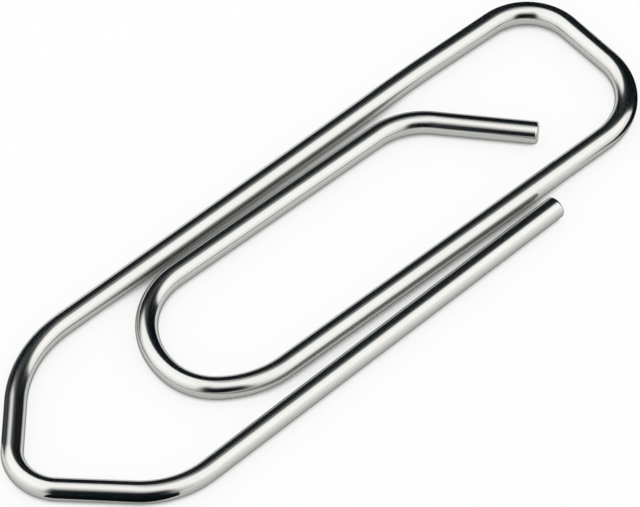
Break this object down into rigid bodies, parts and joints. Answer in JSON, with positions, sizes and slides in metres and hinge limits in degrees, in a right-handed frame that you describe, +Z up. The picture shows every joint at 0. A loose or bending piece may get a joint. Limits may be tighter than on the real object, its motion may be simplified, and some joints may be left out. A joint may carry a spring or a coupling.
{
  "type": "paper clip",
  "caption": "Flat paper clip bent from round metal wire: a pointed outer loop and a springy inner tongue with an inturned tip grip the sheets slid between them.",
  "frame": {"origin": "on the table, under the middle of the clip's length and width", "axes": "+X along the legs from the point towards the top bar, +Y across the clip towards the long leg, +Z up from the table"},
  "size_m": [0.033, 0.0105, 0.001],
  "materials": {
    "bright_wire": "bright nickel-plated cold-drawn steel wire, smooth and mirror-like, with bare sheared ends"
  },
  "bodies": {
    "outer_loop": {"outer_loop": "bright_wire"},
    "tongue": {"tongue": "bright_wire"},
    "return_leg": {"return_leg": "bright_wire"},
    "free_leg": {"free_leg": "bright_wire"}
  },
  "joints": [
    {"name": "tongue_flex", "type": "hinge", "parent": "outer_loop", "child": "tongue", "pos_m": [0.01603, 0.00119, 0.00047], "axis": [0, 1, 0], "range_deg": [0, 10], "stiffness_Nm_per_rad": 0.4},
    {"name": "return_leg_flex", "type": "hinge", "parent": "tongue", "child": "return_leg", "pos_m": [-0.00808, 0.00006, 0.00047], "axis": [0, -1, 0], "range_deg": [0, 5], "stiffness_Nm_per_rad": 0.5},
    {"name": "free_leg_flex", "type": "hinge", "parent": "outer_loop", "child": "free_leg", "pos_m": [-0.01435, -0.00249, 0.00047], "axis": [0.7071, -0.7071, 0], "range_deg": [0, 6], "stiffness_Nm_per_rad": 0.4}
  ]
}
